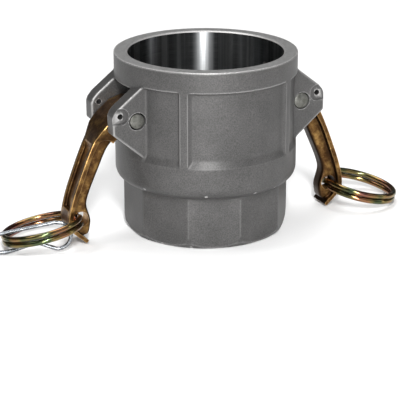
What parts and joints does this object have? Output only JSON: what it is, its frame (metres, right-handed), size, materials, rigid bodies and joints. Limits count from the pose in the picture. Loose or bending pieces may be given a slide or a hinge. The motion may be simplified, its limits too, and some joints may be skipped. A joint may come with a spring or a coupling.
{
  "type": "camlock coupling",
  "caption": "Female cam-and-groove hose coupling with a female pipe thread, cam levers that swing out, lever rings and spring locking clips.",
  "frame": {"origin": "centre of the pipe-thread mouth, on the hub's end face", "axes": "+Z along the waterway towards the cam socket's mouth; +X through the right lever's slot, the left lever lies towards -X; +Y away from the side with the long front panel seen first"},
  "size_m": [0.2299, 0.076, 0.0753],
  "materials": {
    "stainless": "investment-cast stainless steel, satin, with a machined socket, rim face and thread",
    "nitrile": "matt black nitrile rubber",
    "pin_steel": "plain stainless steel pin with a knurled end",
    "bronze": "cast manganese bronze, brown in the hollows and bright on the worn edges",
    "zinc_yellow": "steel wire with yellow iridescent zinc plating",
    "spring_steel": "bright drawn spring wire"
  },
  "bodies": {
    "coupler_body": {"body_casting": "stainless", "gasket": "nitrile", "right_pivot_pin": "pin_steel", "left_pivot_pin": "pin_steel"},
    "right_lever": {"right_lever": "bronze"},
    "left_lever": {"left_lever": "bronze"},
    "right_ring": {"right_ring": "zinc_yellow"},
    "left_ring": {"left_ring": "zinc_yellow"},
    "clip_1": {"safety_clip_1": "spring_steel"},
    "clip_2": {"safety_clip_2": "spring_steel"}
  },
  "joints": [
    {"name": "right_lever_pivot", "type": "hinge", "parent": "coupler_body", "child": "right_lever", "pos_m": [0.0369, 0, 0.0531], "axis": [0, -1, 0], "range_deg": [0, 100]},
    {"name": "left_lever_pivot", "type": "hinge", "parent": "coupler_body", "child": "left_lever", "pos_m": [-0.0369, 0, 0.0531], "axis": [0, 1, 0], "range_deg": [0, 100]},
    {"name": "right_ring_swing", "type": "hinge", "parent": "right_lever", "child": "right_ring", "pos_m": [0.0574, 0, 0.0102], "axis": [0, -1, 0], "range_deg": [-20, 90]},
    {"name": "left_ring_swing", "type": "hinge", "parent": "left_lever", "child": "left_ring", "pos_m": [-0.0574, 0, 0.0102], "axis": [0, 1, 0], "range_deg": [-20, 45]},
    {"name": "clip_1_swing", "type": "hinge", "parent": "left_ring", "child": "clip_1", "pos_m": [-0.0895, 0, 0.0045], "axis": [0, 1, 0], "range_deg": [-10, 10]},
    {"name": "clip_2_swing", "type": "hinge", "parent": "clip_1", "child": "clip_2", "pos_m": [-0.0965, 0, 0.003], "axis": [0, 0, 1], "range_deg": [-20, 20]}
  ]
}
